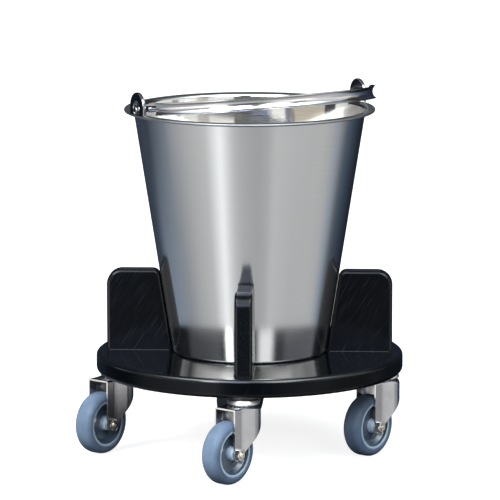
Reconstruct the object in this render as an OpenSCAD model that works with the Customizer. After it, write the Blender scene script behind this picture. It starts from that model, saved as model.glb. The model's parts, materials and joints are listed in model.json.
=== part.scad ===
// Kick bucket: a stainless steel pail with a swinging bail, standing loose between the
// four upright fins of a round plastic dolly that rolls on four swivel casters.
// Millimetres, +Z up. The origin is on the floor under the centre of the dolly disc,
// and the fins and casters stand on +X, +Y, -X and -Y.

/* [Dolly disc] */
// Radius of the round base disc
disc_r = 187; // [184:1:195]
// Thickness of the disc
disc_t = 23; // [19:1:24]
// Height of the disc's top face above the floor
disc_top = 125; // [125:1:135]
// Radius of the disc's eased edges
disc_ease = 5; // [1:0.5:5]

/* [Fins] */
// Thickness of each upright fin
fin_t = 21.5; // [16:0.5:24]
// Height of the fins above the disc
fin_h = 100; // [80:5:120]
// Distance from the disc's centre to a fin's outer edge
fin_outer_r = 174; // [160:0.5:180]
// Gap between a fin and the pail's wall
fin_gap = 0.5; // [0.5:0.5:4]
// Radius of a fin's outer top corner
fin_outer_corner = 19; // [8:1:24]
// Radius of a fin's inner top corner
fin_inner_corner = 10; // [4:1:12]

/* [Pail] */
// Height of the rim above the disc
pail_h = 298; // [280:1:320]
// Outer radius of the rolled lip
lip_r = 152; // [150:1:154]
// Outer radius of the wall just under the flare
wall_r = 140; // [138:1:142]
// Sideways taper of the wall per unit of height
taper = 0.157; // [0.14:0.001:0.17]
// Thickness of the steel sheet
sheet_t = 1; // [0.8:0.1:1.5]
// Radius of the rounded corner between wall and bottom
foot_corner = 4; // [3:1:16]

/* [Ears and bail] */
// Direction of the right ear around the pail, in degrees from +X
ear_azimuth = 30; // [25:1:40]
// Thickness of an ear plate
ear_t = 4; // [3:0.5:4]
// Width of an ear, and the diameter of its round top
ear_w = 36; // [32:1:40]
// Height of an ear above the lip
ear_h = 27; // [26:1:30]
// Diameter of the hole in an ear
ear_hole_d = 16.5; // [16:0.5:17.5]
// Diameter of the bail's hooked ends
hook_d = 8; // [7:0.5:8]
// Width of the bail strap
strap_w = 15; // [12:0.5:15]
// Depth of the hollow pressed along the strap's outer face
strap_hollow = 4; // [4:0.5:5]
// Angle of the bail above level when it lies on the lip
bail_tilt = 6.4; // [6:0.1:10]

/* [Casters] */
// Distance from the disc's centre to a caster's swivel axis
pivot_r = 163; // [155:1:165]
// Direction in which the wheels trail, in degrees from +X
trail_azimuth = 233.7; // [0:0.1:360]
// Distance from the swivel axis to the axle
trail = 30; // [28:1:31]
// Wheel diameter
wheel_d = 75; // [73:1:75]
// Wheel width
wheel_w = 25; // [22:1:25]
// Width of the fork over its two legs
fork_w = 31; // [31:1:34]
// Radius of the fork's rounded head
fork_head_r = 20.5; // [20:0.5:22]

/* [Hidden] */
$fn = 96;
CORNERS = [["right", 0], ["back", 90], ["left", 180], ["front", 270]];
CASTER_PARTS = ["spacer", "race_upper", "kingbolt", "race_lower", "race_balls", "fork",
                "axle_bolt", "axle_nut", "axle_bush", "wheel_centre", "tyre"];
cut = 1;                                  // how far a cutter runs past the face it opens

// Disc and fins
disc_low = disc_top - disc_t;
fin_top = disc_top + fin_h;
screw_places = [112, 140];                // distances of a fin's screws from the centre
screw_r = 2.5;
screw_bite = 18;                          // how far a screw goes into its fin
screw_head_r = 5;
screw_head_h = 3;
socket_af = 3;                            // hexagon socket in a screw's head
socket_depth = 2;
insert_r = 7;
insert_h = 15;

// Pail: the wall is a cone, so its half angle sets every corner on it
wall_angle = atan(taper);
rim_z = disc_top + pail_h;
flare_r = 5;
flare_z = rim_z - flare_r;
bead_r = 1.75;
panel_r = 66;                             // raised centre panel of the bottom
panel_rise = 2;
function wall_at(z) = wall_r - taper * (flare_z - z);

// Ears and bail
ear_out = lip_r;
ear_in = ear_out - ear_t;
hole_z = rim_z + 8;
ear_round_z = rim_z + ear_h - ear_w / 2;
weld_r = 1.8;
weld_from = 9;
weld_to = 17;
hook_r = hook_d / 2;
pin_left_z = hole_z - 1.5;                // the left hook hangs just below the middle of its hole
pin_right_z = hole_z + 4;                 // the right hook is up against the top of its hole
bail_skew = atan((pin_right_z - pin_left_z) / (2 * ear_out));
strap_edge_r = lip_r + 1;
strap_t = 1.5;
strap_half_angle = 75;
strap_end_corner = 1.5;
weld_depth = 0.3;                         // how far a hook is sunk into the strap's inner face
elbow_r = hook_d / 2 + 0.3;               // the hook's bend is upset a little
hook_arc_r = strap_edge_r - strap_hollow - strap_t - hook_r + weld_depth;
hook_arc_from = 58;
hook_tip = 2.5;                           // how far a hook stands out of its ear
seam_turn = 45;                           // keeps the pin's seam clear of the elbow's

// Casters
axle_z = wheel_d / 2;
fork_t = 2;
fork_top = 91;
fork_front = 35;                          // from the swivel axis to the legs' front edge
fork_flat = 13;                           // length of the legs' parallel part
fork_tip_r = 5;
fork_tip_z = 33.5;
king_r = 5;
king_af = 17;                             // across the flats of the kingbolt's head
king_head_h = 6;
king_gap = 0.3;                           // left between that head and the fork over it
running_gap = 0.05;
race_h = 7;
race_r = 20;
race_low = 92;
race_foot_r = 15;                         // flange under the lower race
race_cone_h = 4.4;
spacer_r = 18;
ball_r = 2.25;
ball_ring_r = 13.2;
ball_count = 12;
axle_r = 4;
nut_af = 13;                              // across the flats of the axle nut and bolt head
nut_h = 6.5;
nut_foot_r = 8.06;                        // radii of the cone that trims the nut's corners
nut_top_r = 6.5;
head_h = 5.3;
bolt_end = 1;                             // how far the axle bolt stands out of its nut
rim_r = 28.5;
hub_r = 8;
bush_r = 6;
bush_gap = 0.3;

// Points of an arc about (cx, cy), from angle a0 to a1
function arc(cx, cy, r, a0, a1, n = 12) =
    [for (i = [0 : n]) let (a = a0 + (a1 - a0) * i / n) [cx + r * cos(a), cy + r * sin(a)]];

// A rectangle from (0, low) to (r, high) whose outer corners are rounded, for turning
module rounded_slab(r, low, high, ease) {
    translate([0, low]) square([r - ease, high - low]);
    translate([0, low + ease]) square([r, high - low - 2 * ease]);
    for (z = [low + ease, high - ease]) translate([r - ease, z]) circle(ease);
}

// A hexagon prism along Z, sized across its flats
module hex(across, h) {
    cylinder(h = h, r = across / 2 / cos(30), $fn = 6);
}

// A ring along Z with a straight bore
module ring(outer, inner, low, high) {
    translate([0, 0, low]) difference() {
        cylinder(h = high - low, r = outer);
        translate([0, 0, -cut]) cylinder(h = high - low + 2 * cut, r = inner);
    }
}

// ---- Dolly ----

module fin_screw() {
    translate([0, 0, disc_low]) {
        cylinder(h = screw_head_h, r1 = screw_head_r, r2 = screw_r);
        cylinder(h = disc_t + screw_bite, r = screw_r);
    }
}

module at_fin_screws() {
    for (c = CORNERS) for (d = screw_places) rotate([0, 0, c[1]]) translate([d, 0, 0]) children();
}

module base_disc() {
    color([0.06, 0.065, 0.08]) difference() {
        rotate_extrude() rounded_slab(disc_r, disc_low, disc_top, disc_ease);
        at_fin_screws() fin_screw();
        for (c = CORNERS) rotate([0, 0, c[1]])
            translate([pivot_r, 0, disc_low - cut]) cylinder(h = insert_h + cut, r = insert_r);
    }
}

module fin_screws() {
    color([0.7, 0.7, 0.7]) at_fin_screws() difference() {
        fin_screw();
        translate([0, 0, disc_low - cut]) hex(socket_af, cut + socket_depth);
    }
}

module caster_inserts() {
    color([0.72, 0.58, 0.3]) for (c = CORNERS) rotate([0, 0, c[1]])
        translate([pivot_r, 0, 0]) ring(insert_r, king_r, disc_low, disc_low + insert_h);
}

// Outline of a fin in its own upright plane: distance from the centre, height
function fin_outline() =
    let (inner_z = fin_top - fin_inner_corner,
         inner_x = wall_at(inner_z) + fin_gap + fin_inner_corner / cos(wall_angle),
         outer_z = fin_top - fin_outer_corner,
         outer_x = fin_outer_r - fin_outer_corner)
    concat(
        [[wall_at(disc_top) + fin_gap, disc_top], [fin_outer_r, disc_top]],
        arc(outer_x, outer_z, fin_outer_corner, 0, 90),
        arc(inner_x, inner_z, fin_inner_corner, 90, 180 - wall_angle)
    );

module fin(azimuth) {
    color([0.07, 0.075, 0.09]) rotate([0, 0, azimuth]) difference() {
        rotate([90, 0, 0]) translate([0, 0, -fin_t / 2]) linear_extrude(fin_t) polygon(fin_outline());
        for (d = screw_places) translate([d, 0, disc_top - cut])
            cylinder(h = screw_bite + cut, r = screw_r);
    }
}

// ---- Pail ----

// Half section of the pressed shell: out along the underside, back along the inside
function shell_outline() =
    let (corner_z = disc_top + foot_corner,
         corner_x = wall_at(corner_z) - foot_corner / cos(wall_angle),
         flare_x = wall_at(flare_z) + (flare_r - sheet_t) / cos(wall_angle))
    concat(
        [[0, disc_top + panel_rise], [panel_r, disc_top + panel_rise], [panel_r + panel_rise, disc_top]],
        arc(corner_x, corner_z, foot_corner, -90, -wall_angle),
        arc(flare_x, flare_z, flare_r - sheet_t, 180 - wall_angle, 90, 8),
        [[lip_r - bead_r, rim_z - sheet_t], [lip_r - bead_r, rim_z]],
        arc(flare_x, flare_z, flare_r, 90, 180 - wall_angle, 8),
        arc(corner_x, corner_z, foot_corner - sheet_t, -wall_angle, -90),
        [[panel_r + panel_rise, disc_top + sheet_t], [panel_r, disc_top + panel_rise + sheet_t],
         [0, disc_top + panel_rise + sheet_t]]
    );

module pail_shell() {
    color([0.75, 0.76, 0.78]) rotate_extrude() {
        polygon(shell_outline());
        translate([lip_r - bead_r, rim_z - bead_r]) circle(bead_r);
    }
}

// An ear plate welded upright on the lip, facing outwards along its azimuth
module ear(azimuth) {
    color([0.6, 0.61, 0.63]) rotate([0, 0, azimuth]) {
        translate([ear_in, 0, 0]) rotate([90, 0, 90]) linear_extrude(ear_t) difference() {
            union() {
                translate([0, ear_round_z]) circle(ear_w / 2);
                translate([-ear_w / 2, rim_z - cut]) square([ear_w, ear_round_z - rim_z + cut]);
            }
            translate([0, hole_z]) circle(ear_hole_d / 2);
            translate([-ear_w, rim_z - ear_w]) square([2 * ear_w, ear_w]);
        }
        for (side = [-1, 1]) intersection() {
            translate([ear_in, side * (weld_from + weld_to) / 2, rim_z]) rotate([90, 0, 0])
                cylinder(h = weld_to - weld_from, r = weld_r, center = true);
            translate([ear_in - weld_r, -ear_w, rim_z]) cube([2 * weld_r, 2 * ear_w, weld_r]);
        }
    }
}

// ---- Bail: built with X out from the hinge line, Y along it, Z across the strap ----

module at_bail() {
    translate([0, 0, (pin_left_z + pin_right_z) / 2]) rotate([0, 0, ear_azimuth - 90])
        rotate([bail_skew, 0, 0]) rotate([0, -bail_tilt, 0]) children();
}

// Section of the strap: a shallow gutter, open outwards, of even thickness
module strap_section() {
    gutter_r = (pow(strap_w / 2, 2) + pow(strap_hollow, 2)) / (2 * strap_hollow);
    centre = strap_edge_r - strap_hollow + gutter_r;
    intersection() {
        translate([centre, 0]) difference() {
            circle(gutter_r + strap_t);
            circle(gutter_r);
        }
        translate([strap_edge_r - strap_hollow - strap_t, -strap_w / 2])
            square([strap_hollow + strap_t, strap_w]);
    }
}

module bail_strap() {
    color([0.78, 0.79, 0.8]) at_bail() difference() {
        rotate([0, 0, -strap_half_angle]) rotate_extrude(angle = 2 * strap_half_angle, $fn = 180)
            strap_section();
        for (side = [-1, 1]) for (edge = [-1, 1]) rotate([0, 0, side * strap_half_angle])
            translate([strap_edge_r, 0, edge * strap_w / 2]) rotate([45, 0, 0])
                cube([4 * strap_end_corner, sqrt(2) * strap_end_corner, sqrt(2) * strap_end_corner],
                     center = true);
    }
}

// A hook: an arc welded inside the strap, turned outwards at an elbow into a pin through the ear
module hook(side) {
    color([0.7, 0.71, 0.72]) at_bail() mirror([0, side > 0 ? 0 : 1, 0]) {
        rotate([0, 0, hook_arc_from]) rotate_extrude(angle = 90 - hook_arc_from, $fn = 180)
            translate([hook_arc_r, 0]) circle(hook_r, $fn = 48);
        translate([0, hook_arc_r, 0]) rotate([0, 90, 0]) sphere(elbow_r, $fn = 48);
        translate([0, hook_arc_r, 0]) rotate([-90, seam_turn, 0])
            cylinder(h = ear_out + hook_tip - hook_arc_r, r = hook_r, $fn = 48);
    }
}

// ---- Casters: built with the swivel axis on Z and the wheel trailing towards +X ----

module at_caster(azimuth) {
    translate([pivot_r * cos(azimuth), pivot_r * sin(azimuth), 0]) rotate([0, 0, trail_azimuth])
        children();
}

module at_axle(azimuth) {
    at_caster(azimuth) translate([trail, 0, axle_z]) rotate([-90, 0, 0]) children();
}

module spacer(azimuth) {
    color([0.08, 0.08, 0.09]) at_caster(azimuth) ring(spacer_r, king_r, race_low + race_h, disc_low);
}

// Upper race: a pressed cup over the balls, with a rolled outer edge
module race_upper(azimuth) {
    cup_t = 2;
    color([0.85, 0.85, 0.86]) at_caster(azimuth) difference() {
        rotate_extrude() rounded_slab(race_r, race_low, race_low + race_h, cup_t);
        translate([0, 0, race_low - cut])
            cylinder(h = race_h - cup_t + cut, r = race_r - 1.25 * cup_t);
        cylinder(h = disc_low, r = king_r);
    }
}

// Bolt that holds the fork up: it stands still while the fork turns round it
module kingbolt(azimuth) {
    head_top = fork_top - fork_t - king_gap;
    color([0.75, 0.75, 0.75]) at_caster(azimuth) {
        translate([0, 0, head_top - king_head_h]) hex(king_af, king_head_h);
        translate([0, 0, head_top]) cylinder(h = disc_low + insert_h - head_top, r = king_r);
    }
}

module race_lower(azimuth) {
    color([0.7, 0.7, 0.72]) at_caster(azimuth) difference() {
        union() {
            translate([0, 0, fork_top]) cylinder(h = race_low - fork_top, r = race_foot_r);
            translate([0, 0, race_low]) cylinder(h = race_cone_h, r = ball_ring_r - ball_r - running_gap);
        }
        translate([0, 0, fork_top - cut]) cylinder(h = 2 * race_h + cut, r = king_r + running_gap);
    }
}

module race_balls(azimuth) {
    color([0.8, 0.8, 0.82]) at_caster(azimuth) for (i = [0 : ball_count - 1])
        rotate([0, 0, i * 360 / ball_count])
            translate([ball_ring_r, 0, race_low + ball_r - running_gap]) sphere(ball_r, $fn = 32);
}

// Plan of the fork: a round head that runs tangent into two parallel legs
module fork_plan(head_r, half_w, front) {
    knee = [fork_front - fork_flat, half_w];
    turn = atan2(knee.y, knee.x) + acos(head_r / norm(knee));
    polygon(concat(
        [[knee.x, -knee.y], [front, -half_w], [front, half_w], knee],
        arc(0, 0, head_r, turn, 360 - turn, 36)
    ));
}

// Side view of the fork: upright front edges, a rounded tip and an edge that slants up behind
module fork_side() {
    slant = 43;
    rear = fork_head_r + cut;
    foot = arc(fork_front - fork_tip_r, fork_tip_z, fork_tip_r, 0, slant - 180);
    last = foot[len(foot) - 1];
    polygon(concat(
        foot,
        [[-rear, last.y + (last.x + rear) * tan(slant)], [-rear, fork_top], [fork_front, fork_top]]
    ));
}

module fork(azimuth) {
    color([0.72, 0.73, 0.75]) at_caster(azimuth) difference() {
        intersection() {
            linear_extrude(fork_top) fork_plan(fork_head_r, fork_w / 2, fork_front);
            rotate([90, 0, 0]) translate([0, 0, -fork_w]) linear_extrude(2 * fork_w) fork_side();
        }
        translate([0, 0, -cut]) linear_extrude(fork_top - fork_t + cut)
            fork_plan(fork_head_r - fork_t, fork_w / 2 - fork_t, fork_front + cut);
        cylinder(h = disc_low, r = king_r + running_gap);
        translate([trail, 0, axle_z]) rotate([90, 0, 0]) cylinder(h = 2 * fork_w, r = axle_r, center = true);
    }
}

module axle_bolt(azimuth) {
    color([0.78, 0.78, 0.78]) at_axle(azimuth) {
        translate([0, 0, -fork_w / 2 - head_h]) hex(nut_af, head_h);
        translate([0, 0, -fork_w / 2]) cylinder(h = fork_w + nut_h + bolt_end, r = axle_r);
    }
}

module axle_nut(azimuth) {
    color([0.82, 0.82, 0.8]) at_axle(azimuth) translate([0, 0, fork_w / 2]) difference() {
        intersection() {
            hex(nut_af, nut_h);
            cylinder(h = nut_h, r1 = nut_foot_r, r2 = nut_top_r);
        }
        translate([0, 0, -cut]) cylinder(h = nut_h + 2 * cut, r = axle_r);
    }
}

module axle_bush(azimuth) {
    half = fork_w / 2 - fork_t - bush_gap;
    color([0.6, 0.6, 0.62]) at_axle(azimuth) ring(bush_r, axle_r + running_gap, -half, half);
}

// Moulded wheel centre: hub, dished web and rim, turned round the axle
module wheel_centre(azimuth) {
    hub = wheel_w / 2 + 0.4;              // the hub stands a little proud of the tyre, the rim sits back
    rim = wheel_w / 2 - 0.7;
    side = [[bush_r, hub], [hub_r, hub], [hub_r + 1, 4.5], [20, 3.5], [24.8, 8], [25.5, rim], [rim_r, rim]];
    color([0.62, 0.72, 0.82]) at_axle(azimuth) rotate_extrude()
        polygon(concat(side, [for (i = [len(side) - 1 : -1 : 0]) [side[i].x, -side[i].y]]));
}

// Tyre: a ring with a flat tread and full round shoulders
module tyre(azimuth) {
    shoulder = 8;
    half = wheel_w / 2;
    outer = wheel_d / 2;
    color([0.48, 0.58, 0.7]) at_axle(azimuth) rotate_extrude() {
        translate([rim_r, -half]) square([outer - shoulder - rim_r, wheel_w]);
        translate([rim_r, shoulder - half]) square([outer - rim_r, wheel_w - 2 * shoulder]);
        for (y = [-1, 1]) intersection() {
            translate([outer - shoulder, y * (half - shoulder)]) circle(shoulder);
            translate([rim_r, -half]) square([outer - rim_r, wheel_w]);
        }
    }
}

base_disc();
fin_screws();
caster_inserts();
for (c = CORNERS) fin(c[1]);
pail_shell();
ear(ear_azimuth);  // ear_right
ear(ear_azimuth + 180);  // ear_left
bail_strap();
hook(1);  // bail_hook_right
hook(-1);  // bail_hook_left
for (c = CORNERS) spacer(c[1]);
for (c = CORNERS) race_upper(c[1]);
for (c = CORNERS) kingbolt(c[1]);
for (c = CORNERS) race_lower(c[1]);
for (c = CORNERS) race_balls(c[1]);
for (c = CORNERS) fork(c[1]);
for (c = CORNERS) axle_bolt(c[1]);
for (c = CORNERS) axle_nut(c[1]);
for (c = CORNERS) axle_bush(c[1]);
for (c = CORNERS) wheel_centre(c[1]);
for (c = CORNERS) tyre(c[1]);
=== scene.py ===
"""Looks of the kick bucket on its wheeled dolly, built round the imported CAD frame.

Meshes are written in millimetres in the frame's own axes; make() turns them into metres. Casters are written
once with the swivel axis on Z and the wheel trailing towards +X, and set down at the four swivel joints.
"""
import json
import math

import bmesh
import bpy
from mathutils import Matrix, Vector

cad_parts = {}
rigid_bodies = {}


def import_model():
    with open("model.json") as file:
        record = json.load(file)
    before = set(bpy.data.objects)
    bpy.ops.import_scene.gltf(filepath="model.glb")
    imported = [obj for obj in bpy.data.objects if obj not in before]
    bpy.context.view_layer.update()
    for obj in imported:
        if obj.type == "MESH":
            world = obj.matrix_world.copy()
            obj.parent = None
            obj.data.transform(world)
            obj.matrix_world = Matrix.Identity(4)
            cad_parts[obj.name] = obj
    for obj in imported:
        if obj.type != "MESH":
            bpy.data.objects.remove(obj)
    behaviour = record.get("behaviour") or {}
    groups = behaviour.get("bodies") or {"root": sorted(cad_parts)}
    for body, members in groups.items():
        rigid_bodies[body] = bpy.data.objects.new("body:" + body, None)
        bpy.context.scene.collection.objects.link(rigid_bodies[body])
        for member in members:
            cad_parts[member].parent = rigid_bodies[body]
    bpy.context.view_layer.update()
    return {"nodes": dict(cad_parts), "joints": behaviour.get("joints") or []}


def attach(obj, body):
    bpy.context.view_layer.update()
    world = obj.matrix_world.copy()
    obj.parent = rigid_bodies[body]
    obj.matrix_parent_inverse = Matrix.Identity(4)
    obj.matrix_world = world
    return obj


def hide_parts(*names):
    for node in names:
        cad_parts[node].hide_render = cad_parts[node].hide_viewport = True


for leftover in list(bpy.data.objects):
    bpy.data.objects.remove(leftover)
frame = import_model()

MM = 0.001
CASTERS = ("right", "back", "left", "front")
JOINTS = {j["name"]: j for j in frame["joints"]}

# ---- Sizes, in millimetres and degrees, the same as the CAD source's where it has them ----
DISC_TOP, DISC_LOW = 125.0, 102.0
FIN_T, FIN_TOP, FIN_OUTER = 21.5, 225.0, 174.0
FIN_OUTER_CORNER, FIN_INNER_CORNER, FIN_EASE = 19.0, 10.0, 4.0
RIM_Z, LIP_R, WALL_R, TAPER, SHEET = 423.0, 152.0, 140.0, 0.157, 1.0
FLARE_R, BEAD_R, FOOT_CORNER, PANEL_R, PANEL_RISE = 5.0, 1.75, 4.0, 66.0, 2.0
EAR_AZIMUTH, EAR_T, EAR_W, EAR_TOP, HOLE_Z, HOLE_R = 30.0, 4.0, 36.0, 450.0, 431.0, 8.25
PIN_LEFT, PIN_RIGHT, BAIL_TILT = 429.5, 435.0, 6.4
STRAP_EDGE_R, STRAP_W, STRAP_HOLLOW, STRAP_T, STRAP_END, STRAP_CORNER = 153.0, 15.0, 4.0, 1.5, 75.0, 1.5
HOOK_R, HOOK_ARC_R, HOOK_FROM, PIN_TIP = 4.0, 143.8, 58.0, 154.5
FORK_TOP, FORK_W, FORK_HEAD_R, FORK_T, FORK_FRONT, FORK_FLAT = 91.0, 31.0, 20.5, 2.0, 35.0, 13.0
TIP_R, TIP_Z, SLANT = 5.0, 33.5, 43.0
WHEEL_R, WHEEL_HALF, RIM_R, TRAIL = 37.5, 12.5, 28.5, 30.0
AXLE_AF, AXLE_R, AXLE_HEAD, AXLE_END, NUT_H = 13.0, 4.0, 5.3, 7.5, 6.5
KING_AF, KING_R, KING_HEAD_LOW, KING_HEAD_TOP, KING_END = 17.0, 5.0, 82.7, 88.7, 117.0
WALL_ANGLE = math.degrees(math.atan(TAPER))
# The look's own: the fins stand closer to the pail than the CAD's 0.5 mm, and have a fine seam along the foot
FIN_GAP, FIN_SEAM = 0.15, 1.2


def wall_at(z):
    """Outer radius of the pail's wall at height z."""
    return WALL_R - TAPER * (RIM_Z - FLARE_R - z)


# ---- Plain geometry ----
def arc(cx, cy, r, a0, a1, n):
    """n + 1 points of an arc, angles in degrees."""
    turns = [math.radians(a0 + (a1 - a0) * i / n) for i in range(n + 1)]
    return [(cx + r * math.cos(t), cy + r * math.sin(t)) for t in turns]


def rounded(points, radius, closed=True, n=4):
    """The polyline with each corner replaced by a small arc of at most that radius."""
    out, count = [], len(points)
    for i, p in enumerate(points):
        if not closed and i in (0, count - 1):
            out.append(tuple(p))
            continue
        p = Vector(p)
        before = Vector(points[i - 1]) - p
        after = Vector(points[(i + 1) % count]) - p
        reach = min(radius, 0.45 * before.length, 0.45 * after.length)
        a, b = p + before.normalized() * reach, p + after.normalized() * reach
        for k in range(n + 1):
            t = k / n
            out.append(tuple(a * (1 - t) ** 2 + p * 2 * t * (1 - t) + b * t * t))
    return out


class Geo:
    """Vertices in millimetres, faces, and a material number for each face."""

    def __init__(self):
        self.verts, self.faces, self.tags = [], [], []

    def rings(self, rings, wrap_ring=True, wrap_all=False, caps=(True, True), tag=0, tags=None):
        """Skins a row of rings that all have the same number of points."""
        base, size, count = len(self.verts), len(rings[0]), len(rings)
        for ring in rings:
            self.verts += [tuple(p) for p in ring]
        for i in range(count if wrap_all else count - 1):
            a, b = base + i * size, base + (i + 1) % count * size
            for j in range(size if wrap_ring else size - 1):
                k = (j + 1) % size
                self.faces.append((a + j, a + k, b + k, b + j))
                self.tags.append(tags[j] if tags else tag)
        if not wrap_all:
            for used, first, flip in ((caps[0], base, True), (caps[1], base + (count - 1) * size, False)):
                if used:
                    loop = list(range(first, first + size))
                    self.faces.append(tuple(reversed(loop)) if flip else tuple(loop))
                    self.tags.append(tag)
        return self

    def lathe(self, profile, steps, tags=None):
        """Turns a closed half section, as (radius, height), about Z."""
        rings = []
        for k in range(steps):
            t = 2 * math.pi * k / steps
            rings.append([(r * math.cos(t), r * math.sin(t), z) for r, z in profile])
        return self.rings(rings, wrap_all=True, tags=tags)


def make(name, geo, body, replaced, materials, place=None, sharp=32, bevel=0.0):
    """A finished piece: the mesh in the frame's metres, riding on its body and standing for its CAD nodes."""
    place = place or Matrix.Identity(4)
    mesh = bpy.data.meshes.new(name)
    mesh.from_pydata([(place @ Vector(v)) * MM for v in geo.verts], [], geo.faces)
    for m in materials:
        mesh.materials.append(m)
    for polygon, tag in zip(mesh.polygons, geo.tags):
        polygon.material_index = tag
    bm = bmesh.new()
    bm.from_mesh(mesh)
    bmesh.ops.remove_doubles(bm, verts=bm.verts, dist=1e-7)
    bmesh.ops.recalc_face_normals(bm, faces=bm.faces)
    bm.to_mesh(mesh)
    bm.free()
    mesh.polygons.foreach_set("use_smooth", [True] * len(mesh.polygons))
    mesh.set_sharp_from_angle(angle=math.radians(sharp))
    piece = bpy.data.objects.new(name, mesh)
    bpy.context.scene.collection.objects.link(piece)
    if bevel:
        edge = piece.modifiers.new("edge", "BEVEL")
        edge.width, edge.segments, edge.limit_method = bevel * MM, 2, "ANGLE"
        edge.angle_limit = math.radians(40)
        edge.harden_normals = False
    flat = piece.modifiers.new("flat", "WEIGHTED_NORMAL")
    flat.keep_sharp = True
    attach(piece, body)
    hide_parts(*replaced)
    return piece


# ---- Materials ----
class Nodes:
    """Shader nodes in one tree. A value is a number, a colour of three numbers or a node's output."""

    def __init__(self, tree):
        self.tree = tree
        self.tree.nodes.clear()

    def add(self, kind, **settings):
        made = self.tree.nodes.new(kind)
        for key, value in settings.items():
            setattr(made, key, value)
        return made

    def put(self, socket, value):
        """A value on an input socket."""
        if isinstance(value, bpy.types.NodeSocket):
            self.tree.links.new(value, socket)
        else:
            socket.default_value = (*value, 1) if isinstance(value, tuple) else value

    def math(self, operation, a, b=0.0):
        made = self.add("ShaderNodeMath", operation=operation)
        self.put(made.inputs[0], a)
        self.put(made.inputs[1], b)
        return made.outputs["Value"]

    def span(self, value, low, high, to_low, to_high, kind="LINEAR"):
        """value from low..high spread over to_low..to_high, and held at the ends."""
        made = self.add("ShaderNodeMapRange", interpolation_type=kind)
        for key, v in (("Value", value), ("From Min", low), ("From Max", high), ("To Min", to_low),
                       ("To Max", to_high)):
            self.put(made.inputs[key], v)
        return made.outputs["Result"]

    def smooth(self, value, low, high, to_low, to_high):
        """The same with both ends eased."""
        return self.span(value, low, high, to_low, to_high, "SMOOTHSTEP")

    def blend(self, share, a, b, kind="MIX"):
        made = self.add("ShaderNodeMix", data_type="RGBA", blend_type=kind)
        for key, value in (("Factor", share), ("A", a), ("B", b)):
            self.put(made.inputs[key], value)
        return made.outputs["Result"]


class Shader(Nodes):
    """One material, built from nodes in the object's own coordinates."""

    def __init__(self, name):
        self.material = bpy.data.materials.new(name)
        self.material.use_nodes = True
        super().__init__(self.material.node_tree)
        self.bsdf = self.add("ShaderNodeBsdfPrincipled")
        self.put(self.add("ShaderNodeOutputMaterial").inputs["Surface"], self.bsdf.outputs["BSDF"])
        self.place = self.add("ShaderNodeTexCoord").outputs["Object"]
        self.normal = None

    def noise(self, scale, stretch=(1, 1, 1), turn=(0, 0, 0), detail=3.0, rough=0.55):
        mapping = self.add("ShaderNodeMapping", vector_type="TEXTURE")
        self.put(mapping.inputs["Vector"], self.place)
        mapping.inputs["Scale"].default_value = [1 / k for k in stretch]
        mapping.inputs["Rotation"].default_value = [math.radians(t) for t in turn]
        noise = self.add("ShaderNodeTexNoise")
        self.put(noise.inputs["Vector"], mapping.outputs["Vector"])
        noise.inputs["Scale"].default_value = scale
        noise.inputs["Detail"].default_value = detail
        noise.inputs["Roughness"].default_value = rough
        return noise.outputs["Fac"]

    def bump(self, height, strength, distance):
        """A fine relief on top of those made before it."""
        made = self.add("ShaderNodeBump")
        for key, value in (("Height", height), ("Strength", strength), ("Distance", distance)):
            self.put(made.inputs[key], value)
        if self.normal:
            self.put(made.inputs["Normal"], self.normal)
        self.normal = made.outputs["Normal"]

    def done(self, **inputs):
        for key, value in inputs.items():
            self.put(self.bsdf.inputs[key.replace("_", " ").title().replace("Ior", "IOR")], value)
        if self.normal:
            self.put(self.bsdf.inputs["Normal"], self.normal)
        return self.material


def turned_steel(name, light, dark, rough, lines, anisotropic, bump, again=1.0):
    """Sheet steel finished with fine lines round the Z axis.

    With again below 1, a ray that has met another surface first sees it darker by that factor, and rougher.
    """
    s = Shader(name)
    fine = s.noise(1.0, stretch=(7, 7, lines), detail=2.0)
    broad = s.noise(9.0, stretch=(1, 1, 0.45), detail=3.0)
    s.bump(fine, bump, 0.0002)
    tangent = s.add("ShaderNodeTangent", direction_type="RADIAL", axis="Z")
    s.put(s.bsdf.inputs["Tangent"], tangent.outputs["Tangent"])
    wear = s.math("ADD", s.math("MULTIPLY", fine, 0.6), s.math("MULTIPLY", broad, 0.4))
    tone = s.blend(s.span(wear, 0.35, 0.65, 0.0, 1.0), light, dark)
    gloss = s.span(wear, 0.3, 0.7, rough[0], rough[1])
    if again < 1.0:
        later = s.span(s.add("ShaderNodeLightPath").outputs["Ray Depth"], 0.0, 1.0, 0.0, 1.0)
        tone = s.blend(s.math("MULTIPLY", later, 1.0 - again), tone, (0.0, 0.0, 0.0))
        extra_blur = 0.3
        gloss = s.math("ADD", gloss, s.math("MULTIPLY", later, extra_blur))
    return s.done(base_color=tone, metallic=1.0, roughness=gloss,
                  anisotropic=anisotropic, anisotropic_rotation=0.25)


def metal(name, light, dark, rough, grain=(60, 60, 60), bump=0.02, scale=1.0):
    """Worked metal: slow stains, a fine grain in the given direction, and rougher patches."""
    s = Shader(name)
    fine = s.noise(10.0 * scale, stretch=grain, detail=2.0)
    broad = s.noise(28.0, detail=4.0)
    s.bump(fine, bump, 0.0002)
    wear = s.math("ADD", s.math("MULTIPLY", fine, 0.5), s.math("MULTIPLY", broad, 0.5))
    return s.done(base_color=s.blend(s.span(broad, 0.35, 0.7, 0.0, 1.0), light, dark), metallic=1.0,
                  roughness=s.span(wear, 0.3, 0.7, rough[0], rough[1]))


def plastic(name, light, dark, rough, bump, scale=60.0, specular=0.5):
    """Moulded plastic or rubber: slight clouding, patchy gloss and a fine surface texture."""
    s = Shader(name)
    cloud = s.noise(scale, detail=4.0)
    skin = s.noise(900.0, detail=2.0)
    s.bump(skin, bump, 0.0002)
    return s.done(base_color=s.blend(s.span(cloud, 0.35, 0.65, 0.0, 1.0), light, dark),
                  roughness=s.span(cloud, 0.3, 0.7, rough[0], rough[1]), specular_ior_level=specular)


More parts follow.
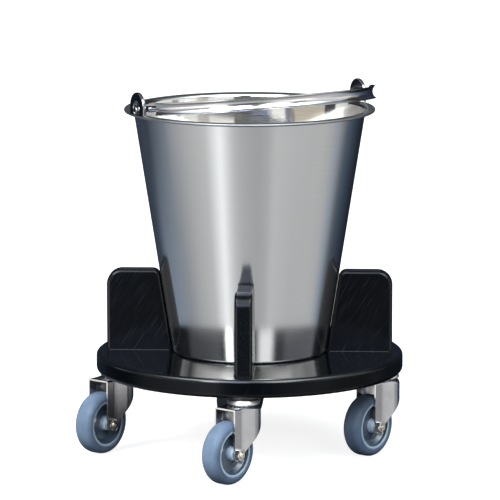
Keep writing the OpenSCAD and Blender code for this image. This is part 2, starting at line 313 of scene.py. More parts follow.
def dolly_plastic(name, turn, wear):
    """Black plastic with short slanting scratches: a polished disc top, lighter grey, rougher fin tops, satin
    elsewhere.
    """
    s = Shader(name)
    split = s.add("ShaderNodeSeparateXYZ")
    s.put(split.inputs["Vector"], s.place)
    height = split.outputs["Z"]

    def rise(start, end):
        """0 below start and 1 above end, heights in millimetres."""
        return s.span(height, start * MM, end * MM, 0.0, 1.0)

    def band(rise_start, rise_end, fall_start, fall_end):
        """1 between two heights, and 0 below and above them."""
        fall = s.span(height, fall_start * MM, fall_end * MM, 1.0, 0.0)
        return s.math("MULTIPLY", rise(rise_start, rise_end), fall)

    cloud = s.noise(14.0, detail=4.0)
    scratch = s.noise(1.0, stretch=(900, 900, 26), turn=turn, detail=1.0)
    cut = s.noise(1.0, stretch=(520, 520, 24), turn=tuple(0.8 * t for t in turn), detail=0.0)
    light_marks = s.span(scratch, 0.60, 0.78, 0.0, wear)
    marks = s.math("ADD", light_marks, s.span(cut, 0.74, 0.82, 0.0, wear))
    s.bump(s.noise(700.0, detail=2.0), 0.05, 0.0002)
    s.bump(marks, 0.10, -0.0003)

    top = band(DISC_TOP - 0.7, DISC_TOP - 0.1, DISC_TOP + 0.1, DISC_TOP + 0.3)
    side = band(DISC_LOW + 4.0, DISC_LOW + 5.5, DISC_TOP - 5.5, DISC_TOP - 4.0)
    rim_painted_highlight = band(DISC_TOP - 4.5, DISC_TOP - 3.5, DISC_TOP - 1.0, DISC_TOP - 0.2)
    # The flat tops of the fins: rougher, less glossy and lighter grey than the faces.
    fin_crown = rise(FIN_TOP - 0.7, FIN_TOP - 0.1)

    satin = s.math("ADD", s.span(cloud, 0.3, 0.7, 0.16, 0.22), s.math("MULTIPLY", light_marks, 0.12))
    satin = s.math("ADD", satin, s.math("MULTIPLY", fin_crown, 0.35))
    polished = s.span(cloud, 0.3, 0.7, 0.05, 0.09)
    rough = s.add("ShaderNodeMix", data_type="FLOAT")
    for socket, value in zip((0, 2, 3), (top, satin, polished)):
        s.put(rough.inputs[socket], value)

    tone = s.blend(s.span(cloud, 0.35, 0.65, 0.0, 1.0), (0.0016, 0.0022, 0.0034), (0.0009, 0.0014, 0.0022))
    tone = s.blend(s.math("MULTIPLY", marks, 0.35), tone, (0.026, 0.032, 0.042))
    tone = s.blend(s.math("MULTIPLY", fin_crown, 0.8), tone, (0.022, 0.023, 0.026))
    # More specular on the eased top edge is a painted highlight along the disc's rim; less on the upright
    # side is painted shade that keeps it dark.
    more = s.math("ADD", s.span(top, 0, 1, 0.25, 1.0), s.math("MULTIPLY", rim_painted_highlight, 0.35))
    less = s.math("ADD", s.math("MULTIPLY", side, 0.175), s.math("MULTIPLY", fin_crown, 0.18))
    return s.done(base_color=tone, roughness=rough.outputs[0],
                  specular_ior_level=s.math("SUBTRACT", more, less))


PAIL_OUT = turned_steel("pail_outside", (0.68, 0.695, 0.705), (0.645, 0.66, 0.675), (0.13, 0.18),
                        lines=1500, anisotropic=0.55, bump=0.02)
PAIL_IN = turned_steel("pail_inside", (0.83, 0.82, 0.80), (0.74, 0.73, 0.70), (0.05, 0.11),
                       lines=700, anisotropic=0.3, bump=0.02, again=0.7)
# The rolled bead is the pail's own sheet; its darker, rougher steel is painted shade for the dark line along
# the rim.
LIP = metal("lip_steel_painted_shade", (0.36, 0.365, 0.375), (0.26, 0.265, 0.28), (0.34, 0.46))
EAR = metal("ear_steel", (0.43, 0.44, 0.47), (0.28, 0.29, 0.32), (0.07, 0.16))
BAIL = metal("bail_steel", (0.80, 0.80, 0.80), (0.68, 0.69, 0.71), (0.10, 0.20), grain=(40, 40, 160))
FORK = metal("fork_steel", (0.60, 0.61, 0.635), (0.48, 0.49, 0.515), (0.15, 0.26), grain=(90, 90, 12),
             bump=0.05)
CUT = metal("cut_edge", (0.88, 0.86, 0.83), (0.74, 0.72, 0.70), (0.16, 0.28))
CHROME = metal("race_chrome", (0.70, 0.70, 0.70), (0.60, 0.60, 0.61), (0.30, 0.38))
ZINC = metal("fastener_steel", (0.84, 0.82, 0.77), (0.68, 0.66, 0.61), (0.12, 0.25))
BUSH = metal("bush_steel", (0.55, 0.55, 0.56), (0.42, 0.42, 0.43), (0.3, 0.42))
BRASS = metal("insert_brass", (0.78, 0.60, 0.29), (0.60, 0.44, 0.20), (0.25, 0.40))
WELD = metal("weld_bead", (0.60, 0.58, 0.55), (0.35, 0.33, 0.32), (0.25, 0.45), bump=0.2, scale=3.0)
SPACER = plastic("spacer_plastic", (0.022, 0.022, 0.024), (0.014, 0.014, 0.016), (0.35, 0.5), 0.1)
TYRE = plastic("tyre_rubber", (0.128, 0.178, 0.255), (0.092, 0.134, 0.198), (0.36, 0.52), 0.10, scale=45.0,
               specular=0.25)
# The wheel's web takes a darker copy of this plastic: painted shade in the dished recess, while the rim and
# hub stay paler.
CENTRE = plastic("wheel_plastic", (0.50, 0.61, 0.72), (0.40, 0.51, 0.63), (0.14, 0.24), 0.04, scale=70.0,
                 specular=0.7)
WEB_PAINTED_SHADE = plastic("wheel_web_painted_shade", (0.07, 0.105, 0.15), (0.045, 0.07, 0.10), (0.10, 0.20), 0.04, scale=50.0,
              specular=0.9)
DISC = dolly_plastic("dolly_plastic", (0, 24, 0), 0.12)
FIN = dolly_plastic("fin_plastic", (0, 33, 0), 0.7)
FIN_SIDE = dolly_plastic("fin_plastic_side", (30, 0, 0), 0.7)


# ---- Dolly ----
def fin_geo():
    """A fin in its own upright plane (distance from the centre, height), rounded over both faces."""
    inner_z, outer_z = FIN_TOP - FIN_INNER_CORNER, FIN_TOP - FIN_OUTER_CORNER
    inner_x = wall_at(inner_z) + FIN_GAP + FIN_INNER_CORNER / math.cos(math.radians(WALL_ANGLE))
    path = [(FIN_OUTER, DISC_TOP)]
    path += arc(FIN_OUTER - FIN_OUTER_CORNER, outer_z, FIN_OUTER_CORNER, 0, 90, 14)
    path += arc(inner_x, inner_z, FIN_INNER_CORNER, 90, 180 - WALL_ANGLE, 12)
    path += [(wall_at(DISC_TOP) + FIN_GAP, DISC_TOP)]
    normals = []
    for i in range(len(path)):
        a, b = Vector(path[max(i - 1, 0)]), Vector(path[min(i + 1, len(path) - 1)])
        along = (b - a).normalized()
        normals.append(Vector((along.y, -along.x)))
    rings = []
    eased = [(FIN_EASE - y, FIN_T / 2 - FIN_EASE + x) for x, y in arc(0, 0, FIN_EASE, 0, 90, 8)]
    for inset, y in eased + [(inset, -y) for inset, y in reversed(eased)]:
        ring = []
        for p, n in zip(path, normals):
            q = Vector(p) - n * inset
            ring.append((q.x, y, max(q.y, DISC_TOP) if p[1] > DISC_TOP else DISC_TOP))
        rings.append(ring)
    geo = Geo().rings(rings)
    low, high = wall_at(DISC_TOP) + FIN_GAP + FIN_EASE, FIN_OUTER - FIN_EASE
    sunk, hollow = 0.4, 0.35
    for side in (-1, 1):
        seam, y = [], side * FIN_T / 2
        for k in range(25):
            x = low + (high - low) * k / 24
            wave = FIN_SEAM * (0.9 + 0.1 * math.sin(2.3 * k))
            seam.append([(x, y - side * sunk, DISC_TOP), (x, y + side * wave, DISC_TOP),
                         (x, y + side * hollow * wave, DISC_TOP + hollow * wave), (x, y, DISC_TOP + wave),
                         (x, y - side * sunk, DISC_TOP + wave)])
        geo.rings(seam)
    return geo


for corner, azimuth in zip(CASTERS, (0, 90, 180, 270)):
    make(f"fin_{corner}_look", fin_geo(), "dolly", [f"fin_{corner}"],
         [FIN if azimuth % 180 == 0 else FIN_SIDE], Matrix.Rotation(math.radians(azimuth), 4, "Z"))


def repaint(node_name, look):
    """A CAD node that keeps its own mesh gets a finish of its own."""
    materials = frame["nodes"][node_name].data.materials
    materials.clear()
    materials.append(look)


repaint("base_disc", DISC)


# ---- Pail ----
def pail_geo():
    """The closed half section of the sheet, out along the underside and back along the inside."""
    cos_w = math.cos(math.radians(WALL_ANGLE))
    corner_z, flare_z = DISC_TOP + FOOT_CORNER, RIM_Z - FLARE_R
    corner_x = wall_at(corner_z) - FOOT_CORNER / cos_w
    flare_x = wall_at(flare_z) + (FLARE_R - SHEET) / cos_w
    outside = [(0, DISC_TOP + PANEL_RISE), (PANEL_R, DISC_TOP + PANEL_RISE), (PANEL_R + PANEL_RISE, DISC_TOP)]
    outside += arc(corner_x, corner_z, FOOT_CORNER, -90, -WALL_ANGLE, 12)
    outside += [(wall_at(z), z) for z in range(140, 418, 20)]
    outside += arc(flare_x, flare_z, FLARE_R - SHEET, 180 - WALL_ANGLE, 92, 8)
    bead = arc(LIP_R - BEAD_R, RIM_Z - BEAD_R, BEAD_R, -200, 90, 14)
    inside = arc(flare_x, flare_z, FLARE_R, 90, 180 - WALL_ANGLE, 10)
    inside += [(wall_at(z) - SHEET, z) for z in range(400, 138, -20)]
    inside += arc(corner_x, corner_z, FOOT_CORNER - SHEET, -WALL_ANGLE, -90, 12)
    inside += [(PANEL_R + PANEL_RISE, DISC_TOP + SHEET), (PANEL_R, DISC_TOP + PANEL_RISE + SHEET),
               (0, DISC_TOP + PANEL_RISE + SHEET)]
    # Tag 2, the bead, takes the darker lip steel: painted shade along the rim.
    tags = [0] * len(outside) + [2] * len(bead) + [1] * len(inside)
    return Geo().lathe(outside + bead + inside, steps=192, tags=tags)


make("pail_shell_look", pail_geo(), "pail", ["pail_shell"], [PAIL_OUT, PAIL_IN, LIP], sharp=38)


def ear_geo():
    """A plate with a round top and a hole, its edges eased, with two weld beads along its foot."""
    geo, steps, half, ease, lip = Geo(), 72, EAR_W / 2, 0.9, 0.6
    outer_x, inner_x = LIP_R, LIP_R - EAR_T
    round_z, foot_drop = EAR_TOP - half, HOLE_Z - RIM_Z
    mid, edge = 0.26 * ease, 0.3
    rings = []
    for k in range(steps):
        t = math.radians(360 * k / steps)
        dy, dz = math.cos(t), math.sin(t)
        on_foot = dz < 0 and abs(dy) * foot_drop <= half * -dz
        if on_foot:
            reach = foot_drop / -dz
        else:
            drop = HOLE_Z - round_z
            reach = -drop * dz + math.sqrt(half * half - (drop * dy) ** 2)
            if HOLE_Z + reach * dz < round_z:
                reach = half / abs(dy)
        section = [(HOLE_R + lip, outer_x), (reach - ease, outer_x), (reach - mid, outer_x - mid),
                   (reach, outer_x - ease), (reach, inner_x + ease), (reach - mid, inner_x + mid),
                   (reach - ease, inner_x), (HOLE_R + lip, inner_x), (HOLE_R, inner_x + lip),
                   (HOLE_R, outer_x - lip)]
        if on_foot:
            section = [(min(r, reach), x) for r, x in section]
            section[1:7] = [(reach, x) for x in (outer_x, outer_x - edge, outer_x - ease,
                                                 inner_x + ease, inner_x + edge, inner_x)]
        rings.append([(x, r * dy, HOLE_Z + r * dz) for r, x in section])
    geo.rings(rings, wrap_all=True)
    bead_from, bead_run, bead_r = 8.6, 8.8, 1.75
    for side in (-1, 1):
        beads = []
        for k in range(29):
            y = side * (bead_from + bead_run * k / 28)
            ends = math.sqrt(max(0.02, 1 - (abs(k - 14) / 14.5) ** 6))
            swell = bead_r * ends * (0.9 + 0.1 * math.sin(k * 1.9))
            beads.append([(x, y, z) for x, z in arc(inner_x, RIM_Z, swell, 0, 180, 12)])
        geo.rings(beads, tag=1)
    return geo


for side_name, turn in (("right", EAR_AZIMUTH), ("left", EAR_AZIMUTH + 180)):
    make(f"ear_{side_name}_look", ear_geo(), "pail", [f"ear_{side_name}"], [EAR, WELD],
         Matrix.Rotation(math.radians(turn), 4, "Z"))

# ---- Bail: X out from the hinge line, Y along it, Z across the strap ----
BAIL_SKEW = math.atan2(PIN_RIGHT - PIN_LEFT, 2 * LIP_R)
BAIL_PLACE = (Matrix.Translation((0, 0, (PIN_LEFT + PIN_RIGHT) / 2))
              @ Matrix.Rotation(math.radians(EAR_AZIMUTH - 90), 4, "Z")
              @ Matrix.Rotation(BAIL_SKEW, 4, "X") @ Matrix.Rotation(math.radians(-BAIL_TILT), 4, "Y"))


def strap_geo():
    """A shallow gutter of even thickness, open outwards, swept round the bail with clipped end corners."""
    half = STRAP_W / 2
    gutter_r = (half * half + STRAP_HOLLOW ** 2) / (2 * STRAP_HOLLOW)
    centre = STRAP_EDGE_R - STRAP_HOLLOW + gutter_r
    edge, rings, whole = 0.45, [], int(STRAP_END)
    near_ends = {side * (STRAP_END - d) for side in (-1, 1) for d in (0, 0.25, 0.5, 0.8, 1.2, 1.5)}
    for angle in sorted(near_ends | {float(i) for i in range(1 - whole, whole)}):
        left = math.radians(STRAP_END - abs(angle)) * STRAP_EDGE_R
        wide = half - max(0.0, STRAP_CORNER - left)
        outer, inner = [], []
        for k in range(13):
            z = wide * (-1 + k / 6)
            outer.append((centre - math.sqrt(gutter_r ** 2 - z * z), z))
            inner.append((centre - math.sqrt((gutter_r + STRAP_T) ** 2 - z * z), z))
        section = rounded([outer[0], *outer[1:-1], outer[-1], *reversed(inner)], edge, n=2)
        a = math.radians(angle)
        rings.append([(r * math.cos(a), r * math.sin(a), z) for r, z in section])
    return Geo().rings(rings)


def rod(path, radius):
    """A round rod along a path in the XY plane, with its last end eased."""
    rings = []
    last, before = Vector(path[-1]), Vector(path[-2])
    along = (last - before).normalized()
    spots = [(Vector(p), radius) for p in path[:-1]]
    spots += [(last - along, radius), (last - along * 0.35, radius * 0.93), (last, radius * 0.76)]
    for i, (p, r) in enumerate(spots):
        a, b = spots[max(i - 1, 0)][0], spots[min(i + 1, len(spots) - 1)][0]
        along = (b - a).normalized()
        side = Vector((-along.y, along.x))
        ring = []
        for k in range(32):
            t = 2 * math.pi * k / 32
            ring.append((p.x + side.x * r * math.cos(t), p.y + side.y * r * math.cos(t), r * math.sin(t)))
        rings.append(ring)
    return Geo().rings(rings)


def hook_geo(side):
    """An arc inside the strap's end, turned out through the ear."""
    bend = 5.0
    start = math.degrees(math.asin(bend / HOOK_ARC_R))
    path = arc(0, 0, HOOK_ARC_R, HOOK_FROM, 90 - start, 24)
    path += arc(bend, HOOK_ARC_R + bend, bend, 268, 180, 8)
    path += [(0, y) for y in (HOOK_ARC_R + bend + 2, PIN_TIP - 2, PIN_TIP)]
    return rod([(x, side * y) for x, y in path], HOOK_R)


make("bail_strap_look", strap_geo(), "bail", ["bail_strap"], [BAIL], BAIL_PLACE, sharp=40)
for side_name, side in (("right", 1), ("left", -1)):
    make(f"bail_hook_{side_name}_look", hook_geo(side), "bail", [f"bail_hook_{side_name}"],
         [BAIL], BAIL_PLACE)


# ---- Casters ----
def fork_geo():
    """Folded sheet: a round head that runs into two parallel legs, folded over on top, slanting behind."""
    half, knee = FORK_W / 2, (FORK_FRONT - FORK_FLAT, FORK_W / 2)
    turn = math.degrees(math.atan2(knee[1], knee[0]) + math.acos(FORK_HEAD_R / math.hypot(*knee)))
    tip_x = FORK_FRONT - TIP_R
    foot_end = tip_x + TIP_R * math.cos(math.radians(SLANT - 180))
    foot_z = TIP_Z + TIP_R * math.sin(math.radians(SLANT - 180))
    leg = [(tip_x + TIP_R * math.cos(math.radians(a)), half) for a in range(0, -136, -9)]
    flare = [(16.5, half + 1.42), (10.8, half + 2.88)]
    leg += [(foot_end, half), (24.5, half), knee, *flare]
    head = arc(0, 0, FORK_HEAD_R, turn, 360 - turn, 44)
    path = leg + head + [(x, -y) for x, y in reversed(leg)]

    def low(x):
        if x >= foot_end:
            return TIP_Z - math.sqrt(max(0.0, TIP_R ** 2 - (x - tip_x) ** 2))
        return foot_z + (foot_end - x) * math.tan(math.radians(SLANT))

    geo = Geo()
    outer, inner = [], []
    leg_fold, head_fold, fold_run = 2.3, 5.5, 26.0
    for i, p in enumerate(path):
        grown = max(0.0, min(1.0, (knee[0] - p[0]) / fold_run)) ** 1.5
        bend = leg_fold + (head_fold - leg_fold) * grown
        a, b = Vector(path[max(i - 1, 0)]), Vector(path[min(i + 1, len(path) - 1)])
        along = (b - a).normalized()
        inward = Vector((-along.y, along.x)) if i else Vector((0, -1))
        inward = Vector((0, 1)) if i == len(path) - 1 else inward
        z0 = low(p[0])
        walls = [z0 + share * (FORK_TOP - bend - z0) for share in (0.0, 0.35, 0.7)]
        for rows, depth, r in ((outer, 0.0, bend), (inner, FORK_T, bend - FORK_T)):
            row = [(p[0] + inward.x * depth, p[1] + inward.y * depth, z) for z in walls]
            for k in range(5):
                t = math.radians(22.5 * k)
                q = depth + r * (1 - math.cos(t))
                row.append((p[0] + inward.x * q, p[1] + inward.y * q, FORK_TOP - bend + r * math.sin(t)))
            rows.append([(min(x, FORK_FRONT), y, z) for x, y, z in row])
    size = len(outer[0])
    for rows in (outer, inner):
        geo.rings(rows, wrap_ring=False, caps=(False, False))
    base = len(outer) * size
    for i in range(len(outer) - 1):
        geo.faces.append((i * size, (i + 1) * size, base + (i + 1) * size, base + i * size))
        geo.tags.append(1)
    for i in (0, len(outer) - 1):
        for j in range(size - 1):
            geo.faces.append((i * size + j, i * size + j + 1, base + i * size + j + 1, base + i * size + j))
            geo.tags.append(1)
    first, last = size - 1, (len(outer) - 1) * size + size - 1
    geo.faces.append((first, last, base + last, base + first))
    geo.tags.append(1)
    for offset in (0, base):
        geo.faces.append(tuple(offset + i * size + size - 1 for i in range(len(outer))))
        geo.tags.append(0)
    return geo


def hexagon(across, low, high, bore=0.0, chamfer_high=True):
    """A hexagon head or nut along Z whose corners are turned off at 30 degrees."""
    rings, inner = [], 0.48 * across
    worn_from, worn_run, worn = 0.56 * across, 0.017 * across, 0.25
    for k in range(72):
        t = math.radians(5 * k)
        reach = across / 2 / math.cos((t % math.radians(60)) - math.radians(30))
        reach -= worn * max(0.0, (reach - worn_from) / worn_run)
        cut = max(0.0, reach - inner) * math.tan(math.radians(30))
        section = [(bore, low), (inner, low), (reach, low + cut),
                   (reach, high - (cut if chamfer_high else 0.0)), (inner, high), (bore, high)]
        if bore:
            section[0:1] = [(bore, low + 0.4), (bore + 0.4, low)]
            section[-1:] = [(bore + 0.5, high), (bore, high - 0.5)]
        rings.append([(r * math.cos(t), r * math.sin(t), z) for r, z in section])
    return Geo().rings(rings, wrap_all=True)


def closed_lathe(points, ease, steps=64):
    """A turned ring whose corners are eased."""
    return Geo().lathe(rounded(points, ease), steps)


def axle_bolt_geo():
    """A hexagon head under the far leg, and a shank through the nut whose end has a shallow hollow."""
    half, end = FORK_W / 2, FORK_W / 2 + AXLE_END
    geo = hexagon(AXLE_AF, -half - AXLE_HEAD, -half, chamfer_high=False)
    profile = [(0, -half + 0.01), (AXLE_R, -half + 0.01), (AXLE_R, end - 1.3), (AXLE_R - 0.45, end),
               (2.0, end), (1.6, end - 1.4), (0, end - 1.6)]
    return geo.lathe(profile, 48)


def wheel_centre_geo():
    """Hub, dished web and rim, as (radius, height) on one side; the web gets a darker copy of the plastic,
    painted shade in its dish.
    """
    hub, web = [(6.05, 12.9), (8.0, 12.9)], [(9.2, 4.9), (19.6, 3.6), (24.7, 7.6)]
    rim = [(25.6, 11.8), (28.45, 11.8)]
    side = hub + web + rim
    profile = rounded(side + [(r, -y) for r, y in reversed(side)], 0.9)
    web_from, web_to = 8.2, 25.3
    return Geo().lathe(profile, 96, tags=[int(web_from < r < web_to) for r, y in profile])


def tyre_geo():
    """A flat tread between two full round shoulders."""
    shoulder = 8.0
    bulge = arc(WHEEL_R - shoulder, WHEEL_HALF - shoulder, shoulder, 0, 90, 10)
    side = [(WHEEL_R, 0.55), (WHEEL_R, 1.5)] + [p for p in bulge if p[0] >= RIM_R + 0.4]
    profile = [(RIM_R, WHEEL_HALF - 0.75)] + side[::-1]
    return Geo().lathe(profile + [(WHEEL_R, 0.0)] + [(r, -y) for r, y in reversed(profile)], 112)


def parts():
    """Each caster part: body, CAD node, slot, materials, geometry, whether it is on the axle, bevel."""
    half, bush_short = FORK_W / 2, 2.3
    kingbolt = hexagon(KING_AF, KING_HEAD_LOW, KING_HEAD_TOP)
    kingbolt.lathe([(0, KING_HEAD_TOP - 0.1), (KING_R, KING_HEAD_TOP - 0.1), (KING_R, KING_END - 0.5),
                    (KING_R - 0.6, KING_END), (0, KING_END)], 40)
    # Outlines of turned parts as (radius, height)
    upper = [(5.2, 97.0), (5.2, 99.0), (16.6, 99.0), (18.4, 97.9), (20.0, 93.6), (19.2, 92.0), (17.7, 92.4),
             (17.5, 95.6), (16.0, 97.0)]
    lower = [(5.1, 91.0), (15.0, 91.0), (15.0, 92.0), (10.9, 92.0), (10.9, 96.4), (5.1, 96.4)]
    spacer = [(5.1, 99.0), (18.0, 99.0), (18.0, DISC_LOW), (5.1, DISC_LOW)]
    nut = hexagon(AXLE_AF, half, half + NUT_H, bore=AXLE_R)
    bush = [(r, y * (half - bush_short)) for r, y in ((4.1, -1), (6.0, -1), (6.0, 1), (4.1, 1))]
    return [
        ("caster_", "fork", "fork_steel", [FORK, CUT], fork_geo(), False, 0.22),
        ("caster_", "race_lower", "fork_steel", [FORK], closed_lathe(lower, 0.5), False, 0.0),
        ("dolly", "race_upper", "race_chrome", [CHROME], closed_lathe(upper, 1.0, 80), False, 0.0),
        ("dolly", "spacer", "spacer_plastic", [SPACER], closed_lathe(spacer, 0.6), False, 0.0),
        ("dolly", "kingbolt", "fastener_steel", [ZINC], kingbolt, False, 0.0),
        ("caster_", "axle_bolt", "fastener_steel", [ZINC], axle_bolt_geo(), True, 0.0),
        ("caster_", "axle_nut", "fastener_steel", [ZINC], nut, True, 0.0),
        ("wheel_", "axle_bush", "bush_steel", [BUSH], closed_lathe(bush, 0.3, 40), True, 0.0),
        ("wheel_", "wheel_centre", "wheel_plastic", [CENTRE, WEB_PAINTED_SHADE], wheel_centre_geo(), True, 0.0),
        ("wheel_", "tyre", "tyre_rubber", [TYRE], tyre_geo(), True, 0.0),
    ]


TO_AXLE = Matrix.Translation((TRAIL, 0, WHEEL_R)) @ Matrix.Rotation(math.radians(-90), 4, "X")
for corner in CASTERS:
    pivot = Vector(JOINTS[f"{corner}_swivel"]["pos_m"]) / MM
    axle = Vector(JOINTS[f"{corner}_wheel_spin"]["pos_m"]) / MM
    trailing = math.atan2(axle.y - pivot.y, axle.x - pivot.x)
    at_caster = Matrix.Translation((pivot.x, pivot.y, 0)) @ Matrix.Rotation(trailing, 4, "Z")
    for body, part, slot_name, looks, geo, on_axle, ease in parts():
        body = body if body == "dolly" else body + corner
        make(f"{part}_{corner}_look", geo, body, [f"{part}_{corner}"], looks,
             at_caster @ TO_AXLE if on_axle else at_caster, bevel=ease)

# ---- Small CAD nodes that stay as they are ----
repaint("fin_screws", ZINC)
repaint("caster_inserts", BRASS)
for corner in CASTERS:
    repaint(f"race_balls_{corner}", CHROME)

# ---- Camera ----
camera = bpy.data.objects.new("camera", bpy.data.cameras.new("camera"))
bpy.context.scene.collection.objects.link(camera)
CAMERA_AZIMUTH, CAMERA_PITCH = 2.52, 9.56
camera.location = (0.2021, -4.5816, 1.0206)
camera.rotation_euler = (math.radians(90 - CAMERA_PITCH), 0, math.radians(CAMERA_AZIMUTH))
camera.data.lens, camera.data.sensor_width = 275.2, 36.0
camera.data.clip_start, camera.data.clip_end = 0.1, 100.0
camera.data.dof.use_dof = False
bpy.context.scene.camera = camera
bpy.context.scene.view_settings.view_transform = "Standard"
bpy.context.scene.view_settings.look = "None"

# ---- Studio: what polished metal sees is painted on the world by direction; lamps light the matt parts ----
world = bpy.data.worlds.new("studio")
bpy.context.scene.world = world
world.use_nodes = True
studio = Nodes(world.node_tree)


def ramp(angle, stops):
    """Colour by azimuth, in degrees to the right of the camera; brighter than 1 is allowed."""
    peak = max(1.0, max(max(colour) for _, colour in stops))
    made = studio.add("ShaderNodeValToRGB")
    elements = made.color_ramp.elements
    while len(elements) > 1:
        elements.remove(elements[-1])
    for i, (degrees, colour) in enumerate(stops):
        element = elements[0] if i == 0 else elements.new(0.5 + degrees / 360)
        element.position = 0.5 + degrees / 360
        element.color = (*[c / peak for c in colour], 1)
    studio.put(made.inputs["Fac"], angle)
    return studio.blend(1.0, made.outputs["Color"], (peak, peak, peak), "MULTIPLY")


def background(colour, strength=1.0):
    """Light of a plain or a painted colour from all round."""
    made = studio.add("ShaderNodeBackground")
    studio.put(made.inputs["Color"], colour)
    studio.put(made.inputs["Strength"], strength)
    return made.outputs[0]


def joined(kind, *values):
    """A shader node of that kind with its inputs filled in order."""
    made = studio.add(kind)
    for socket, value in zip(made.inputs, values):
        studio.put(socket, value)
    return made.outputs[0]


facing_camera = studio.add("ShaderNodeMapping", vector_type="POINT")
facing_camera.inputs["Rotation"].default_value = (0, 0, math.radians(-CAMERA_AZIMUTH))
studio.put(facing_camera.inputs["Vector"], studio.add("ShaderNodeTexCoord").outputs["Generated"])
split = studio.add("ShaderNodeSeparateXYZ")
studio.put(split.inputs["Vector"], facing_camera.outputs["Vector"])
east, north, up = (split.outputs[k] for k in "XYZ")
azimuth = studio.math("ARCTAN2", east, studio.math("MULTIPLY", north, -1.0))
share = studio.math("ADD", studio.math("DIVIDE", azimuth, 2 * math.pi), 0.5)

# Well below the horizon: what the brushed outside of the pail sees. Most of these values weren't chosen by
# hand: a script scaled them by the photo's brightness over the render's, across the pail
floor_tones = [(-180, 0.01), (-162, 0.03), (-150, 0.20), (-135, 0.70), (-115, 0.40), (-88, 0.36), (-65, 0.54),
               (-48, 0.655), (-38, 1.03), (-32, 1.28), (-24, 0.91), (-16, 0.70), (-8, 0.605), (9, 0.53),
               (20, 0.57), (28, 0.69), (42, 0.63), (55, 0.585), (76, 0.615), (95, 0.59), (105, 0.43),
               (116, 0.08), (130, 0.010), (180, 0.005)]


def tinted(a, v):
    """Grey v, bluish at the far left and right and where it is dark."""
    if abs(a) > 100:
        return 0.84 * v, v, 1.22 * v
    return (0.96 * v, v, 1.08 * v) if v < 0.5 else (v, v, 0.99 * v)


low_ramp = ramp(share, [(a, tinted(a, v)) for a, v in floor_tones])
# Just above the horizon: cards and gaps with hard edges, which the polished inside shows as upright stripes
cards = [(-180, -119, (0.03, 0.035, 0.05)), (-119, -99, (0.95, 0.95, 0.93)), (-98, -84, (0.05, 0.05, 0.06)),
         (-83, -45, (0.60, 0.55, 0.46)), (-44, -38, (0.16, 0.18, 0.24)), (-37, -24, (1.0, 1.0, 0.98)),
         (-22, -19, (0.50, 0.52, 0.56)), (-18, -5, (0.15, 0.19, 0.30)), (-4, 16, (0.17, 0.18, 0.16)),
         (17, 42, (1.0, 1.0, 0.98)), (44, 55, (0.62, 0.60, 0.55)), (57, 109, (0.95, 0.94, 0.90)),
         (110, 122, (0.42, 0.40, 0.38)), (125, 180, (0.03, 0.035, 0.06))]
high_ramp = ramp(share, [(a, colour) for left, right, colour in cards for a in (left, right)])
# Level with the camera: what upright faces, the pail's far edges and the disc's mirror image of the pail see
eye_tones = [(-180, 0.008), (-165, 0.05), (-140, 0.07), (-128, 0.02), (-98, 0.02), (-84, 0.85), (-58, 1.70),
             (-45, 2.00), (-36, 3.00), (-25, 3.10), (-18, 0.20), (6, 0.08), (14, 0.35), (28, 1.05),
             (46, 1.60), (58, 1.50), (67, 0.85), (80, 0.80), (90, 0.46), (108, 0.46), (120, 0.16),
             (134, 0.07), (150, 0.03), (180, 0.008)]
eye_ramp = ramp(share, [(a, (v, 0.985 * v, 0.96 * v) if -98 < a < 112 else (0.75 * v, v, 1.4 * v))
                        for a, v in eye_tones])
# Between the cards and the lamps: what the pail's foot sees by way of the disc
gap = [(-180, 0.04), (-105, 0.04), (-96, 0.34), (-48, 0.52), (-40, 0.04), (48, 0.04), (58, 0.70), (106, 0.75),
       (114, 0.04), (180, 0.04)]
gap_ramp = ramp(share, [(a, (v * 0.98, v, v * 1.1)) for a, v in gap])
# High up: two wide soft lamps, left and right
broad = [(-180, 0.05), (-100, 0.1), (-82, 2.0), (-60, 8.0), (-35, 10.0), (-14, 4.0), (6, 3.0), (20, 8.0),
         (45, 9.0), (60, 5.0), (80, 2.0), (105, 0.3), (180, 0.05)]
broad_ramp = ramp(share, [(a, (v * 0.88, v * 0.96, v)) for a, v in broad])
deep_down, overhead = (0.22, 0.23, 0.24), (0.24, 0.25, 0.28)
low_seen = studio.blend(studio.smooth(up, -0.36, -0.26, 0.0, 1.0), low_ramp, eye_ramp)
low_seen = studio.blend(studio.smooth(up, -0.80, -0.62, 1.0, 0.0), low_seen, deep_down)
above = studio.blend(studio.smooth(up, 0.20, 0.26, 0.0, 1.0), high_ramp, gap_ramp)
above = studio.blend(studio.smooth(up, 0.52, 0.62, 0.0, 1.0), above, broad_ramp)
above = studio.blend(studio.smooth(up, 0.84, 0.93, 0.0, 1.0), above, overhead)
seen = studio.blend(studio.smooth(up, -0.03, 0.08, 0.0, 1.0), low_seen, above)


def strip(centre, half_width, soft, low, high, strength):
    """A tall lamp: bright within half_width degrees of centre, between two heights."""
    off = studio.math("ABSOLUTE", studio.math("SUBTRACT", azimuth, math.radians(centre)))
    across = studio.smooth(off, math.radians(half_width), math.radians(half_width + soft), strength, 0.0)
    foot, head = studio.smooth(up, low, low + 0.08, 0.0, 1.0), studio.smooth(up, high, high + 0.1, 1.0, 0.0)
    return studio.math("MULTIPLY", across, studio.math("MULTIPLY", foot, head))


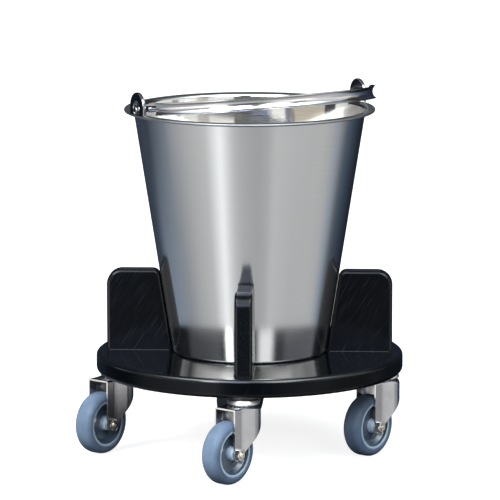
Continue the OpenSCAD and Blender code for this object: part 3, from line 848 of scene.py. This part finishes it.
lamps = studio.math("ADD", strip(-30.5, 4.0, 3.0, 0.22, 0.52, 19.0), strip(24.0, 5.0, 12.0, 0.22, 0.52, 8.0))
front_lamp = strip(-11.5, 9.0, 2.5, 0.20, 0.50, 5.5)
glow = joined("ShaderNodeAddShader", background((1.0, 0.99, 0.97), lamps),
              background((0.78, 0.88, 1.2), front_lamp))
mirror_light = joined("ShaderNodeAddShader", background(seen), glow)
sides = studio.math("MULTIPLY", studio.smooth(north, -0.6, 0.25, 1.0, 0.25),
                   studio.smooth(east, -0.5, 0.6, 0.75, 0.16))
sky = studio.math("MULTIPLY", sides, studio.smooth(up, -0.35, 0.5, 0.03, 0.50))
rays = studio.add("ShaderNodeLightPath").outputs
soft_sky = background((0.93, 0.96, 1.0), sky)
light = joined("ShaderNodeMixShader", rays["Is Diffuse Ray"], mirror_light, soft_sky)
light = joined("ShaderNodeMixShader", rays["Is Camera Ray"], light, background((1.0, 1.0, 1.0)))
studio.put(studio.add("ShaderNodeOutputWorld").inputs["Surface"], light)


def softbox(name, place, size, watts, colour=(1, 1, 1)):
    """A square area lamp aimed at the dolly, seen by matt surfaces only."""
    lamp = bpy.data.lights.new(name, "AREA")
    lamp.shape, lamp.size, lamp.energy, lamp.color = "SQUARE", size, watts, colour
    holder = bpy.data.objects.new(name, lamp)
    bpy.context.scene.collection.objects.link(holder)
    holder.location = place
    holder.rotation_euler = (Vector((0, 0, 0.2)) - Vector(place)).to_track_quat("-Z", "Y").to_euler()
    holder.visible_glossy = False
    holder.visible_camera = False


softbox("key", (-2.0, -1.7, 2.1), 1.2, 98.0, (1.0, 0.99, 0.97))
softbox("fill", (2.0, -1.5, 1.2), 1.6, 2.0, (0.96, 0.98, 1.0))
softbox("top", (0.1, 0.2, 2.6), 1.8, 10.0)


# ---- Floor ----
def flat_card(name, corners, look, hidden_from):
    """A level card of the studio, which some kinds of ray don't meet."""
    mesh = bpy.data.meshes.new(name)
    mesh.from_pydata(corners, [], [tuple(range(len(corners)))])
    mesh.materials.append(look)
    card = bpy.data.objects.new(name, mesh)
    bpy.context.scene.collection.objects.link(card)
    for kind in hidden_from:
        setattr(card, f"visible_{kind}", False)
    return card


FLOOR_REACH, FLOOR_Z = 60.0, -0.0003
paper = Shader("floor_paper")
tint = paper.blend(paper.noise(0.8, detail=3.0), (0.42, 0.42, 0.42), (0.40, 0.405, 0.41))
paper_look = paper.done(base_color=tint, roughness=1.0, specular_ior_level=0.0,
                        emission_color=(1.0, 1.0, 1.0), emission_strength=0.85)
corners = [(x * FLOOR_REACH, y * FLOOR_REACH, FLOOR_Z) for x, y in ((-1, -1), (1, -1), (1, 1), (-1, 1))]
floor = flat_card("floor", corners, paper_look, ("glossy", "diffuse"))

# The floor under the dolly lies in its shade; only mirrors see this card
SHADE_R, SHADE_X, SHADE_Y, SHADE_Z = 0.19, 0.06, 0.03, -0.0001
dark = Shader("shaded_floor")
tint = dark.blend(dark.noise(6.0), (0.03, 0.03, 0.035), (0.02, 0.02, 0.025))
dark_look = dark.done(base_color=tint, roughness=1.0, specular_ior_level=0.0)
rim = [(x, y, SHADE_Z) for x, y in arc(SHADE_X, SHADE_Y, SHADE_R, 0, 352.5, 47)]
shade = flat_card("shade", rim, dark_look, ("camera", "diffuse", "shadow"))
